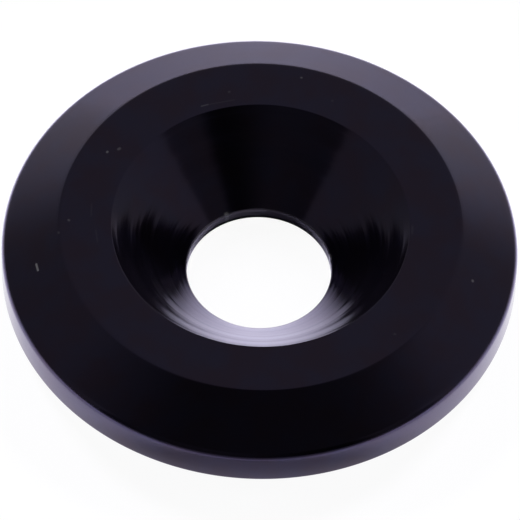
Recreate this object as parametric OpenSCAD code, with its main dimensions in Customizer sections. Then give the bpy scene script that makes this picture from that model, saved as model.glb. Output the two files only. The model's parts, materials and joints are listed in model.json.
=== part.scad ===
// Countersunk washer for a flat-head screw.
// One turned ring: an upright rim, a sloped shoulder, a flat top and a conical screw seat round a short bore.
// The axis is Z, and the flat underside lies on z = 0.

/* [Ring] */
// Outside diameter of the rim
outer_d = 22; // [18:0.5:40]
// Height of the upright rim, where the sloped shoulder starts
rim_h = 2.3; // [1.2:0.05:3.2]
// Diameter of the flat top, where the sloped shoulder ends
flat_d = 17.1; // [13.6:0.1:21]

/* [Screw seat] */
// Diameter of the bore that the screw's shank passes through
bore_d = 6.2; // [5:0.1:8]
// Diameter of the countersink's mouth in the flat top, just wider than the screw head
mouth_d = 12.7; // [11:0.1:16]
// Included angle of the countersink, which is that of the screw head
seat_angle = 90; // [80:1:110]
// Height of the cylindrical land left between the countersink and the underside
land_h = 0.55; // [0.2:0.05:2]

/* [Edges] */
// Leg of the chamfer that cuts the rim back to the underside
foot_chamfer = 0.75; // [0.1:0.05:1]
// Radius of the chamfer's two edges
foot_edge_r = 0.1; // [0.02:0.02:0.3]
// Radius of the edge between the rim and the shoulder
rim_edge_r = 0.42; // [0.02:0.02:0.6]
// Radius of the edge between the shoulder and the flat top
flat_edge_r = 0.3; // [0.02:0.02:0.6]
// Radius of the countersink's mouth
mouth_edge_r = 0.06; // [0.02:0.02:0.3]
// Radius of the two edges of the bore
bore_edge_r = 0.06; // [0.02:0.01:0.1]

/* [Hidden] */
$fn = 180;

finish_colour = "#17141f";

// Depth of the cone from its mouth to the bore, and the thickness that holds it and the land
seat_depth = (mouth_d - bore_d) / 2 / tan(seat_angle / 2);
thickness = land_h + seat_depth;

// The largest share of a straight side that a round at one of its ends may take up
round_share = 0.45;

// Half section as [point, radius of the round there], anticlockwise from the foot of the bore
corners = [
    [[bore_d / 2, 0], bore_edge_r],
    [[outer_d / 2 - foot_chamfer, 0], foot_edge_r],
    [[outer_d / 2, foot_chamfer], foot_edge_r],
    [[outer_d / 2, rim_h], rim_edge_r],
    [[flat_d / 2, thickness], flat_edge_r],
    [[mouth_d / 2, thickness], mouth_edge_r],
    [[bore_d / 2, land_h], bore_edge_r]
];

function unit(v) = v / norm(v);

// The tip that a round takes off one corner, outside the arc that touches both of its sides.
// Where a side is too short for the wanted radius, the round shrinks to fit.
module corner_cut(before, corner, after, wanted_r) {
    to_before = unit(before - corner);
    to_after = unit(after - corner);
    inward = unit(to_before + to_after);
    half_angle = acos(to_before * to_after) / 2;
    room = round_share * min(norm(before - corner), norm(after - corner));
    tangent_l = min(wanted_r / tan(half_angle), room);
    r = tangent_l * tan(half_angle);
    difference() {
        polygon([corner - inward * r, corner + to_before * tangent_l, corner + to_after * tangent_l]);
        translate(corner + inward * r / sin(half_angle)) circle(r);
    }
}

// Half section with X as the radius and Y as the height, its corners rounded
module section() {
    count = len(corners);
    difference() {
        polygon([for (c = corners) c[0]]);
        for (i = [0 : count - 1])
            corner_cut(corners[(i + count - 1) % count][0], corners[i][0],
                       corners[(i + 1) % count][0], corners[i][1]);
    }
}

module countersunk_washer() {
    color(finish_colour) rotate_extrude() section();
}

countersunk_washer();
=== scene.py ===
"""Looks of a countersunk washer in black-anodised aluminium, on a plain white floor.

The CAD node is replaced by the same turned form as a finer lathe mesh, whose countersink carries its
turning marks as relief. Only their finest lines are left to the material. Lengths are in millimetres
and angles in degrees, unless a name says otherwise.
"""
import json
import math
import random

import bpy
from mathutils import Matrix, Vector


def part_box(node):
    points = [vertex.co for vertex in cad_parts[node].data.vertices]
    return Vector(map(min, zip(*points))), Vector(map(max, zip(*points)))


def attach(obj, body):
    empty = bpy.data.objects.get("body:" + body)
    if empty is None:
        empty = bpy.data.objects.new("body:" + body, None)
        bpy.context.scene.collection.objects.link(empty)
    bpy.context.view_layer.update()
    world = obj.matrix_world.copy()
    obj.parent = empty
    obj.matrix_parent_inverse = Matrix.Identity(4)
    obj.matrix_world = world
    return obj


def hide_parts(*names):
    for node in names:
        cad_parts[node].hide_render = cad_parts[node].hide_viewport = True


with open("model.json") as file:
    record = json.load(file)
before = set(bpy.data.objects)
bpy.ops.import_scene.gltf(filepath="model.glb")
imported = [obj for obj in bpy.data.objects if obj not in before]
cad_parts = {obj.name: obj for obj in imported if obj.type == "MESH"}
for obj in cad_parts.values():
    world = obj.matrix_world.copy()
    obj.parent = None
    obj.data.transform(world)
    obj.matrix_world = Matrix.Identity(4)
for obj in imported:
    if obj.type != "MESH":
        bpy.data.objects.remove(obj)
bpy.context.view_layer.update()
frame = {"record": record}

MM = 0.001  # metres in a millimetre
NODE = "countersunk_washer"
MOUNTS = {mount["name"]: mount for mount in frame["record"]["mounts"]}

# Sizes that the frame gives
OUTER_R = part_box(NODE)[1].x / MM
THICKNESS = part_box(NODE)[1].z / MM
BORE_R = MOUNTS["bore"]["dims"]["r_mm"]

# Sizes of the turned section that the frame doesn't name
RIM_H = 2.3
FLAT_R = 8.55
MOUTH_R = 6.35
LAND_H = THICKNESS - (MOUTH_R - BORE_R)  # the seat is cut at 45 degrees
FOOT_CHAMFER = 0.75
FOOT_ROUND = 0.1
RIM_ROUND = 0.42
FLAT_ROUND = 0.3
MOUTH_ROUND = 0.06
BORE_ROUND = 0.06

# Mesh: segments in a turn, and the widest spacing of points round an edge and along each side
SEGMENTS = 360
ARC_STEP = 7.0
SPACING = {
    "underside": 0.6,
    "chamfer": 0.2,
    "rim": 0.12,
    "shoulder": 0.16,
    "flat": 0.16,
    "cone": 0.04,
    "land": 0.06,
}

# Tool marks in the countersink: rings of (radius, half width, tilt), and fine feed lines
TOOL_MARKS = (
    (5.08, 0.05, -0.7),
    (4.83, 0.18, 1.5),
    (4.56, 0.06, -1.0),
    (4.33, 0.09, 0.8),
    (4.14, 0.06, -0.6),
    (3.92, 0.08, 0.5),
    (3.74, 0.05, -0.5),
    (3.48, 0.08, 0.9),
)
RING_POWER = 4  # how squarely a ring's tilt ends at its edges
FEED_WAVES = (0.62, 0.42, 0.23)  # wavelengths along the slope
FEED_TILT = 0.2  # steepest tilt that each wave gives
FEED_SEED = 7

# Camera, from the bore's centre on the underside
CAMERA_ELEVATION = 54.28
CAMERA_ROLL = 2.0
CAMERA_DISTANCE = 330.0
CAMERA_LENS = 533.1
CAMERA_CLIP = 10.0
CAMERA_SHIFT_RIGHT = 0.055
CAMERA_SHIFT_UP = 0.7


def cosine(angle):
    """Cosine of an angle in degrees."""
    return math.cos(math.radians(angle))


def sine(angle):
    """Sine of an angle in degrees."""
    return math.sin(math.radians(angle))


def tangent(angle):
    """Tangent of an angle in degrees."""
    return math.tan(math.radians(angle))


def section_corners():
    """Corners of the turned section as (radius, height, edge round, name of the side that follows)."""
    return [
        (BORE_R, 0.0, BORE_ROUND, "underside"),
        (OUTER_R - FOOT_CHAMFER, 0.0, FOOT_ROUND, "chamfer"),
        (OUTER_R, FOOT_CHAMFER, FOOT_ROUND, "rim"),
        (OUTER_R, RIM_H, RIM_ROUND, "shoulder"),
        (FLAT_R, THICKNESS, FLAT_ROUND, "flat"),
        (MOUTH_R, THICKNESS, MOUTH_ROUND, "cone"),
        (BORE_R, LAND_H, BORE_ROUND, "land"),
    ]


def corner_arc(before, corner, after, radius):
    """Points round one corner of the section, from the side before it to the side after it."""
    to_before = (before - corner).normalized()
    to_after = (after - corner).normalized()
    half_angle = to_before.angle(to_after) / 2
    setback = radius / math.tan(half_angle)
    centre = corner + (to_before + to_after).normalized() * radius / math.sin(half_angle)
    first = corner + to_before * setback - centre
    last = corner + to_after * setback - centre
    steps = math.ceil(math.degrees(first.angle(last)) / ARC_STEP)
    return [centre + radius * first.slerp(last, step / steps) for step in range(steps + 1)]


def feed_waves():
    """(wavelength, phase) of each wave of the feed lines."""
    phases = random.Random(FEED_SEED)
    return [(wave, phases.uniform(0, math.tau)) for wave in FEED_WAVES]


def tool_slope(radius, along, waves):
    """Slope that the tool marks add to the cone, at a radius and a distance along it."""
    tilt = sum(FEED_TILT * math.sin(math.tau * along / wave + phase) for wave, phase in waves)
    for ring, half_width, ring_tilt in TOOL_MARKS:
        tilt += ring_tilt * math.exp(-(((radius - ring) / half_width) ** RING_POWER))
    return tangent(tilt)


def tool_marked(points):
    """Points down the cone, raised and lowered by its tool marks, which start and end level."""
    waves = feed_waves()
    step = (points[1] - points[0]).length
    heights = [0.0]
    for index, point in enumerate(points[1:]):
        heights.append(heights[-1] - step * tool_slope(point.x, index * step, waves))
    down = points[-1] - points[0]
    outward = Vector((down.y, -down.x)).normalized()
    last = len(points) - 1
    return [
        point + outward * (heights[index] - heights[-1] * index / last)
        for index, point in enumerate(points)
    ]


def section_outline():
    """The section's closed outline, with rounded corners and the countersink's tool marks."""
    corners = section_corners()
    places = [Vector((radius, height)) for radius, height, _, _ in corners]
    arcs = []
    for index, (_, _, edge_round, _) in enumerate(corners):
        after = places[(index + 1) % len(places)]
        arcs.append(corner_arc(places[index - 1], places[index], after, edge_round))
    outline = []
    for index, (_, _, _, side) in enumerate(corners):
        start = arcs[index][-1]
        end = arcs[(index + 1) % len(arcs)][0]
        steps = math.ceil((end - start).length / SPACING[side])
        points = [start.lerp(end, step / steps) for step in range(steps + 1)]
        if side == "cone":
            points = tool_marked(points)
        outline += arcs[index][:-1] + points[:-1]
    return outline


def lathe(name, outline):
    """A closed mesh object turned from the outline, unwrapped as turns by length."""
    rings = len(outline)
    turns = [math.tau * segment / SEGMENTS for segment in range(SEGMENTS)]
    vertices = [
        (MM * point.x * math.cos(turn), MM * point.x * math.sin(turn), MM * point.y)
        for point in outline
        for turn in turns
    ]
    lengths = [0.0]
    for index in range(rings):
        lengths.append(lengths[-1] + (outline[(index + 1) % rings] - outline[index]).length)
    faces = []
    uvs = []
    for ring in range(rings):
        here = ring * SEGMENTS
        above = (ring + 1) % rings * SEGMENTS
        low = lengths[ring] / lengths[-1]
        high = lengths[ring + 1] / lengths[-1]
        for segment in range(SEGMENTS):
            beside = (segment + 1) % SEGMENTS
            faces.append((here + segment, here + beside, above + beside, above + segment))
            left = segment / SEGMENTS
            right = (segment + 1) / SEGMENTS
            uvs += [left, low, right, low, right, high, left, high]
    mesh = bpy.data.meshes.new(name)
    mesh.from_pydata(vertices, [], faces)
    mesh.uv_layers.new(name="OFBake").data.foreach_set("uv", uvs)
    mesh.shade_smooth()
    turned = bpy.data.objects.new(name, mesh)
    bpy.context.scene.collection.objects.link(turned)
    return turned


def node(tree, kind, inputs=None, **settings):
    """A new shader node with its settings, and its inputs set to numbers or linked to sockets."""
    made = tree.nodes.new(kind)
    for key, value in settings.items():
        setattr(made, key, value)
    for key, value in (inputs or {}).items():
        if isinstance(value, bpy.types.NodeSocket):
            tree.links.new(value, made.inputs[key])
        else:
            made.inputs[key].default_value = value
    return made


def maths(tree, operation, first, second):
    """A Math node's result."""
    return node(tree, "ShaderNodeMath", {0: first, 1: second}, operation=operation).outputs[0]


def vectors(tree, operation, first, second=(0, 0, 0)):
    """A Vector Math node's vector."""
    made = node(tree, "ShaderNodeVectorMath", {0: first, 1: second}, operation=operation)
    return made.outputs["Vector"]


def scaled(tree, vector, factor):
    """A vector times a number."""
    made = node(tree, "ShaderNodeVectorMath", {0: vector, "Scale": factor}, operation="SCALE")
    return made.outputs["Vector"]


def dot(tree, vector, direction):
    """Dot product of a vector socket with a fixed direction."""
    made = node(tree, "ShaderNodeVectorMath", {0: vector, 1: direction}, operation="DOT_PRODUCT")
    return made.outputs["Value"]


def length(tree, vector):
    """Length of a vector socket."""
    return node(tree, "ShaderNodeVectorMath", {0: vector}, operation="LENGTH").outputs["Value"]


def separate(tree, vector):
    """The three numbers of a vector socket."""
    return node(tree, "ShaderNodeSeparateXYZ", {"Vector": vector}).outputs


def mix(tree, factor, first, second):
    """A number mixed from first, at factor 0, to second, at factor 1."""
    return node(tree, "ShaderNodeMix", {"Factor": factor, "A": first, "B": second}).outputs["Result"]


def mix_colour(tree, factor, first, second):
    """A colour mixed from first, at factor 0, to second, at factor 1."""
    inputs = {"Factor": factor, "A": first, "B": second}
    return node(tree, "ShaderNodeMix", inputs, data_type="RGBA").outputs["Result"]


def ramp(tree, value, low, high, to_low=0.0, to_high=1.0):
    """The value eased from to_low, at low, to to_high, at high."""
    inputs = {"Value": value, "From Min": low, "From Max": high, "To Min": to_low, "To Max": to_high}
    made = node(tree, "ShaderNodeMapRange", inputs, interpolation_type="SMOOTHSTEP")
    return made.outputs["Result"]


def new_material(name):
    """An empty node material and its tree."""
    material = bpy.data.materials.new(name)
    material.use_nodes = True
    material.node_tree.nodes.clear()
    return material, material.node_tree


def position_mm(tree):
    """The shaded point in millimetres in the part's frame."""
    return scaled(tree, node(tree, "ShaderNodeTexCoord").outputs["Object"], 1 / MM)


# Anodising
DYE_WARM = (0.0275, 0.01, 0.045, 1)
DYE_COOL = (0.0225, 0.015, 0.063, 1)
DYE_TINT = (0.9, 0.84, 1.0, 1)  # of reflections at a grazing angle
DYE_CLOUDS = 0.7  # to a millimetre
DYE_CLOUD_DETAIL = 3.0
DYE_CLOUD_RANGE = (0.3, 0.7)  # of their noise, from warm to cool
DYE_ROUGHNESS = (0.15, 0.19)  # where warm and where cool
COAT_ROUGHNESS = 0.14
BARE_METAL = (0.6, 0.58, 0.64, 1)

# Wear on the land, which the screw rubs, and a painted reflection on it, with painted shade at its foot
# lighter than the dye: partly wear and partly a painted reflection of the floor
WEAR_AND_SHEEN_DYE = (0.34, 0.31, 0.39, 1)
WORN_ROUGHNESS = 0.6
WEAR_AND_SHEEN_DEPTH = (0.02, 0.08)  # out from the bore's wall, where it starts to fade and is gone
WEAR_AND_SHEEN_OVER_SHADED_FOOT = (0.1, 0.25)  # heights where it starts and is full; below them the foot stays dark as painted shade
WEAR_AND_SHEEN_SIDES = (-1.0, 1.0)  # places across the bore between which it changes
WEAR_AND_SHEEN_SHARES = (1.0, 0.4)  # on the left and on the right

# Turning lines that are too fine for the mesh
TURNED_LINES = 2.5  # to a millimetre, of the broadest
TURNED_DETAIL = 7.0  # sets of finer lines, each twice as fine as the last
TURNED_ROUGHNESS = 0.75  # strength of each finer set of lines beside the last
TURNED_TILT = 5.0  # steepest tilt that the lines give the cone
TURNED_LEAN = 0.3  # how much flatter than the cone the lines' own faces lie
TURNED_FADE = 0.1  # inside the mouth, where they fade out

# Scratches and specks as the (azimuth, radius) of both ends, the half width and the share of bare metal
MARKS = (
    ((192.0, 9.65), (194.0, 9.64), 0.04, 0.95),
    ((346.1, 9.33), (346.3, 9.33), 0.05, 0.39),
    ((151.9, 7.53), (152.1, 7.53), 0.05, 0.45),
    ((148.6, 7.18), (149.1, 7.2), 0.06, 0.24),
    ((78.9, 8.02), (79.0, 8.02), 0.045, 0.31),
    ((180.9, 8.15), (181.0, 8.13), 0.05, 0.24),
    ((185.2, 8.58), (185.4, 8.58), 0.045, 0.15),
    ((316.7, 7.96), (316.8, 7.98), 0.045, 0.09),
    ((102.4, 7.14), (102.6, 7.14), 0.045, 0.12),
    ((66.5, 7.29), (66.6, 7.29), 0.04, 0.09),
    ((113.8, 6.72), (111.3, 6.71), 0.03, 0.2),
    ((111.3, 6.71), (101.4, 6.68), 0.025, 0.05),
    ((224.6, 6.3), (226.2, 6.32), 0.03, 0.5),
    ((174.0, 7.25), (179.0, 7.2), 0.03, 0.04),
    ((185.0, 7.0), (190.0, 6.98), 0.03, 0.04),
    ((358.2, 6.45), (1.5, 6.45), 0.04, 0.05),
    ((117.2, 3.15), (118.8, 3.15), 0.06, 0.9),
    ((12.0, 3.12), (15.0, 3.12), 0.07, 0.8),
)
MARK_BLUR = 0.5  # of the half width, to each side of a mark's edge


def ring_place(azimuth, radius):
    """Point at an azimuth and a radius round the axis."""
    return Vector((radius * cosine(azimuth), radius * sine(azimuth), 0))


def mark(tree, level, start, end, half_width, share):
    """The share of bare metal on one mark, seen along the axis, and nothing away from it."""
    first = ring_place(*start)
    along = ring_place(*end) - first
    offset = vectors(tree, "SUBTRACT", level, first)
    reach = dot(tree, offset, along / along.length_squared)
    reach = maths(tree, "MINIMUM", maths(tree, "MAXIMUM", reach, 0.0), 1.0)
    away = length(tree, vectors(tree, "SUBTRACT", offset, scaled(tree, along, reach)))
    return ramp(tree, away, (1 - MARK_BLUR) * half_width, (1 + MARK_BLUR) * half_width, share, 0.0)


def marks(tree, level):
    """The share of bare metal on all the marks."""
    shown = 0.0
    for start, end, half_width, share in MARKS:
        shown = maths(tree, "MAXIMUM", mark(tree, level, start, end, half_width, share), shown)
    return shown


def turned_normal(tree, level, radius):
    """Normal with the finest turning lines, which tilt it up and down the cone."""
    lines = node(
        tree,
        "ShaderNodeTexNoise",
        {"W": radius, "Scale": TURNED_LINES, "Detail": TURNED_DETAIL, "Roughness": TURNED_ROUGHNESS},
        noise_dimensions="1D",
    )
    tilt = maths(tree, "MULTIPLY", lines.outputs["Fac"], 2 * tangent(TURNED_TILT))
    tilt = maths(tree, "ADD", tilt, tangent(TURNED_LEAN) - tangent(TURNED_TILT))
    inside = ramp(tree, radius, MOUTH_R - TURNED_FADE, MOUTH_R, 1.0, 0.0)
    tilt = maths(tree, "MULTIPLY", tilt, inside)
    up_slope = vectors(tree, "ADD", vectors(tree, "NORMALIZE", level), (0, 0, 1))
    up_slope = vectors(tree, "NORMALIZE", up_slope)
    smooth = node(tree, "ShaderNodeTexCoord").outputs["Normal"]
    tilted = vectors(tree, "NORMALIZE", vectors(tree, "ADD", smooth, scaled(tree, up_slope, tilt)))
    turned = node(
        tree,
        "ShaderNodeVectorTransform",
        {"Vector": tilted},
        vector_type="NORMAL",
        convert_from="OBJECT",
        convert_to="WORLD",
    )
    return turned.outputs["Vector"]


def land_cover(tree, radius, height):
    """1 on the land, eased to 0 above and below it."""
    near, far = WEAR_AND_SHEEN_DEPTH
    wall = ramp(tree, radius, BORE_R + near, BORE_R + far, 1.0, 0.0)
    return maths(tree, "MULTIPLY", wall, ramp(tree, height, *WEAR_AND_SHEEN_OVER_SHADED_FOOT))


def black_anodise():
    """Glossy black anodising with a clouded violet dye, turning lines in the seat and a few marks."""
    material, tree = new_material("black_anodise")
    place = position_mm(tree)
    level = vectors(tree, "MULTIPLY", place, (1, 1, 0))
    radius = length(tree, level)
    across, _, height = separate(tree, place)
    clouds = {"Vector": place, "Scale": DYE_CLOUDS, "Detail": DYE_CLOUD_DETAIL}
    cloud = node(tree, "ShaderNodeTexNoise", clouds).outputs["Fac"]
    land = land_cover(tree, radius, height)
    # the land lighter than the dye, partly wear and partly a painted reflection, more on the left than
    # the right, and left dark at its foot as painted shade
    worn_and_sheen = maths(tree, "MULTIPLY", land, ramp(tree, across, *WEAR_AND_SHEEN_SIDES, *WEAR_AND_SHEEN_SHARES))
    colour = mix_colour(tree, ramp(tree, cloud, *DYE_CLOUD_RANGE), DYE_WARM, DYE_COOL)
    colour = mix_colour(tree, worn_and_sheen, colour, WEAR_AND_SHEEN_DYE)
    colour = mix_colour(tree, marks(tree, level), colour, BARE_METAL)
    roughness = ramp(tree, cloud, *DYE_CLOUD_RANGE, *DYE_ROUGHNESS)
    normal = turned_normal(tree, level, radius)
    surface = node(
        tree,
        "ShaderNodeBsdfPrincipled",
        {
            "Base Color": colour,
            "Metallic": 1.0,
            "Specular Tint": DYE_TINT,
            "Roughness": mix(tree, land, roughness, WORN_ROUGHNESS),
            "Coat Weight": 1.0,
            "Coat Roughness": COAT_ROUGHNESS,
            "Coat Normal": normal,
            "Normal": normal,
        },
    )
    node(tree, "ShaderNodeOutputMaterial", {"Surface": surface.outputs["BSDF"]})
    return material


# Floor
FLOOR_R = 400.0
FLOOR_SIDES = 96
FLOOR_PAINT = (0.8, 0.785, 0.94, 1)
FLOOR_SHADE = (0.275, 0.27, 0.305, 1)  # painted shade further out, as the reflections show it
FLOOR_SHADE_RANGE = (12.0, 25.0)  # radii where the shade starts and is full
FLOOR_WHITE_SHARE = 0.94  # white for the camera near the object, and a little left for its shadow
FLOOR_BORE_SHADE_SHARE = 0.82  # painted shade inside the bore, as a share of the paint
FLOOR_BACK_SHADOW_SHARE = 0.3  # painted shadow at the back of the bore, as a share of the paint
FLOOR_BACK = (2.1, 2.6)  # places along Y where that painted shadow starts and is full
FLOOR_FRONT_SHADE_SHARE = 0.35  # painted shade towards the camera, as a share of the paint
FLOOR_FRONT = (-16.0, -12.0)  # places along Y where that painted shade is full and ends
FLOOR_MIRROR_REACH = 1.3
FLOOR_FOOT_GLOW_SHARE = 0.75  # painted light: white that only reflections see, close round the foot


def floor_paint(tree, place, radius, outside):
    """The floor's paint, with painted shade far out, in front and in the bore, for the sake of the
    reflections.
    """
    away = separate(tree, place)["Y"]
    # painted shade in the bore, a painted shadow at its back, and painted shade in front of the washer
    bore = ramp(tree, away, *FLOOR_BACK, FLOOR_BORE_SHADE_SHARE, FLOOR_BACK_SHADOW_SHARE)
    front = ramp(tree, away, *FLOOR_FRONT, FLOOR_FRONT_SHADE_SHARE, 1.0)
    paint = mix_colour(tree, ramp(tree, radius, *FLOOR_SHADE_RANGE), FLOOR_PAINT, FLOOR_SHADE)
    return scaled(tree, paint, mix(tree, outside, bore, front))


def floor_white(tree, radius, outside):
    """The share of plain white on the floor, for the camera, and as painted light for reflections of
    the foot.
    """
    path = node(tree, "ShaderNodeLightPath").outputs
    camera_share = ramp(tree, radius, *FLOOR_SHADE_RANGE, FLOOR_WHITE_SHARE, 1.0)
    seen = maths(tree, "MULTIPLY", path["Is Camera Ray"], camera_share)
    # painted light: the floor glows white round the foot for reflections only
    rim_foot = ramp(tree, radius, OUTER_R, OUTER_R + FLOOR_MIRROR_REACH, FLOOR_FOOT_GLOW_SHARE, 0.0)
    foot = maths(tree, "MULTIPLY", rim_foot, outside)
    mirrored = maths(tree, "MULTIPLY", path["Is Glossy Ray"], foot)
    through = maths(tree, "MAXIMUM", seen, path["Is Transmission Ray"])
    return maths(tree, "MAXIMUM", through, mirrored)


def white_floor():
    """Pale floor that shows white to the camera and keeps the object's shadow."""
    material, tree = new_material("white_floor")
    place = position_mm(tree)
    radius = length(tree, place)
    outside = ramp(tree, radius, BORE_R, OUTER_R)
    paint = node(tree, "ShaderNodeBsdfDiffuse", {"Color": floor_paint(tree, place, radius, outside)})
    white = node(tree, "ShaderNodeEmission", {"Color": (1, 1, 1, 1), "Strength": 1.0})
    mixed = node(
        tree,
        "ShaderNodeMixShader",
        {
            "Fac": floor_white(tree, radius, outside),
            1: paint.outputs["BSDF"],
            2: white.outputs["Emission"],
        },
    )
    node(tree, "ShaderNodeOutputMaterial", {"Surface": mixed.outputs["Shader"]})
    return material


def floor():
    """A large disc under the washer."""
    bpy.ops.mesh.primitive_circle_add(vertices=FLOOR_SIDES, radius=FLOOR_R * MM, fill_type="NGON")
    disc = bpy.context.object
    disc.name = "floor"
    disc.data.materials.append(white_floor())


# Studio round the object: levels of light, where 1 is white, and the angles between which they change
DOME_LOW = 0.16
DOME_HIGH = 0.17
DOME_RISE = (30.0, 55.0)  # elevations
DOME_LEAN = 0.2  # how much more comes from the right, and less from the left
GLOW = 0.32  # at the horizon behind the object
GLOW_FADE = (4.0, 30.0)  # elevations
GLOW_SIDES = (0.5, 0.8)  # cosines of the angle from straight behind, where it starts and is full
DARK_HEADING = 6.0  # of the dark side's middle, to the right of the camera
DARK_HALF_WIDTH = 64.0
DARK_BLUR = 1.0  # to each side of its edges, low down
DARK_HIGH = (38.0, 50.0)  # elevations from its low to its high part
DARK_HIGH_SIDES = (120.0, 35.0)  # angles from its middle, in its high part
DARK_LEVEL = 0.055  # left part
DARK_CORE_LEVEL = 0.012
DARK_CORE = (-15.0, 30.0)  # headings to the right of the camera, from the left part to the core
DARK_EDGE_LEVEL = 0.075  # right edge
DARK_EDGE = (37.0, 48.0)  # headings to the right of the camera, from the core to the right edge
DARK_RISE = (24.0, 46.0)  # elevations
DARK_RISE_SHARES = (0.85, 1.15)  # of these levels, at those elevations
DARK_HIGH_LEVEL = 0.035

# Lamps, which light the floor and aren't seen in reflections
LAMP_DISTANCE = 500.0


def sine_ramp(tree, value, angles, to_low=0.0, to_high=1.0):
    """A ramp over the sine of an angle, from the first of two angles to the second."""
    first, last = angles
    return ramp(tree, value, sine(first), sine(last), to_low, to_high)


def cosine_ramp(tree, value, angles):
    """A ramp over the cosine of an angle, from the first of two angles to the second."""
    first, last = angles
    return ramp(tree, value, cosine(first), cosine(last))


def dark_share(tree, heading, high):
    """The share of the dark side at a heading, with sharp edges low down and soft ones high up."""
    middle = Vector((sine(DARK_HEADING), -cosine(DARK_HEADING), 0))
    ahead = dot(tree, heading, middle)
    low_sides = (DARK_HALF_WIDTH + DARK_BLUR, DARK_HALF_WIDTH - DARK_BLUR)
    sharp = cosine_ramp(tree, ahead, low_sides)
    soft = cosine_ramp(tree, ahead, DARK_HIGH_SIDES)
    return mix(tree, high, sharp, soft)


def dark_level(tree, heading, height, high):
    """The level of light on the dark side, from its left part over its core to its right edge."""
    sideways = dot(tree, heading, (1, 0, 0))
    level = sine_ramp(tree, sideways, DARK_CORE, DARK_LEVEL, DARK_CORE_LEVEL)
    level = mix(tree, sine_ramp(tree, sideways, DARK_EDGE), level, DARK_EDGE_LEVEL)
    level = maths(tree, "MULTIPLY", level, sine_ramp(tree, height, DARK_RISE, *DARK_RISE_SHARES))
    return mix(tree, high, level, DARK_HIGH_LEVEL)


def studio_light(tree):
    """Light from each direction: a grey dome, a glow low behind the object and a dark camera side."""
    direction = node(tree, "ShaderNodeTexCoord").outputs["Generated"]
    height = separate(tree, direction)["Z"]
    heading = vectors(tree, "NORMALIZE", vectors(tree, "MULTIPLY", direction, (1, 1, 0)))
    behind = ramp(tree, dot(tree, heading, (0, 1, 0)), *GLOW_SIDES)
    glow = maths(tree, "MULTIPLY", behind, sine_ramp(tree, height, GLOW_FADE, GLOW, 0.0))
    high = sine_ramp(tree, height, DARK_HIGH)
    dome = sine_ramp(tree, height, DOME_RISE, DOME_LOW, DOME_HIGH)
    dark = dark_level(tree, heading, height, high)
    light = maths(tree, "ADD", glow, mix(tree, dark_share(tree, heading, high), dome, dark))
    lean = maths(tree, "ADD", dot(tree, direction, (DOME_LEAN, 0, 0)), 1.0)
    return maths(tree, "MULTIPLY", light, lean)


def studio_world():
    """The studio's light, seen in reflections only and shown to the camera as plain white."""
    world = bpy.data.worlds.new("studio")
    world.use_nodes = True
    tree = world.node_tree
    tree.nodes.clear()
    path = node(tree, "ShaderNodeLightPath")
    strength = mix(tree, path.outputs["Is Camera Ray"], studio_light(tree), 1.0)
    background = node(tree, "ShaderNodeBackground", {"Color": (1, 1, 1, 1), "Strength": strength})
    node(tree, "ShaderNodeOutputWorld", {"Surface": background.outputs["Background"]})
    bpy.context.scene.world = world
    world.cycles_visibility.diffuse = False


def area_lamp(name, azimuth, elevation, size, level):
    """A square lamp aimed at the washer, which lights a white floor to the given level."""
    data = bpy.data.lights.new(name, "AREA")
    data.size = size * MM
    data.energy = math.pi**2 * (LAMP_DISTANCE * MM) ** 2 * level / sine(elevation)
    lamp = bpy.data.objects.new(name, data)
    towards = cosine(elevation) * ring_place(azimuth, 1.0) + Vector((0, 0, sine(elevation)))
    lamp.location = towards * LAMP_DISTANCE * MM
    lamp.rotation_euler = towards.to_track_quat("Z", "Y").to_euler()
    lamp.visible_camera = False
    lamp.visible_glossy = False
    bpy.context.scene.collection.objects.link(lamp)


def camera():
    """The camera at the photograph's viewing angle."""
    back = Vector((0, -cosine(CAMERA_ELEVATION), sine(CAMERA_ELEVATION)))
    right = Vector((1, 0, 0))
    up = back.cross(right)
    rolled_right = cosine(CAMERA_ROLL) * right + sine(CAMERA_ROLL) * up
    rolled_up = back.cross(rolled_right)
    data = bpy.data.cameras.new("camera")
    data.lens = CAMERA_LENS
    data.clip_start = CAMERA_CLIP * MM
    holder = bpy.data.objects.new("camera", data)
    turn = Matrix((rolled_right, rolled_up, back)).transposed()
    place = CAMERA_DISTANCE * back + CAMERA_SHIFT_RIGHT * rolled_right + CAMERA_SHIFT_UP * rolled_up
    holder.matrix_world = Matrix.Translation(place * MM) @ turn.to_4x4()
    bpy.context.scene.collection.objects.link(holder)
    bpy.context.scene.camera = holder


def washer():
    """The washer's shown form, in place of its CAD node."""
    piece = lathe("turned_washer", section_outline())
    piece.data.materials.append(black_anodise())
    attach(piece, "root")
    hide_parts(NODE)


washer()
floor()
studio_world()
area_lamp("back_left", azimuth=125, elevation=35, size=120, level=0.72)
area_lamp("back_right", azimuth=55, elevation=35, size=120, level=0.72)
area_lamp("side_left", azimuth=172, elevation=18, size=150, level=0.13)
area_lamp("side_right", azimuth=8, elevation=18, size=150, level=0.16)
area_lamp("front", azimuth=270, elevation=18, size=200, level=0.14)
camera()
bpy.context.scene.view_settings.view_transform = "Standard"
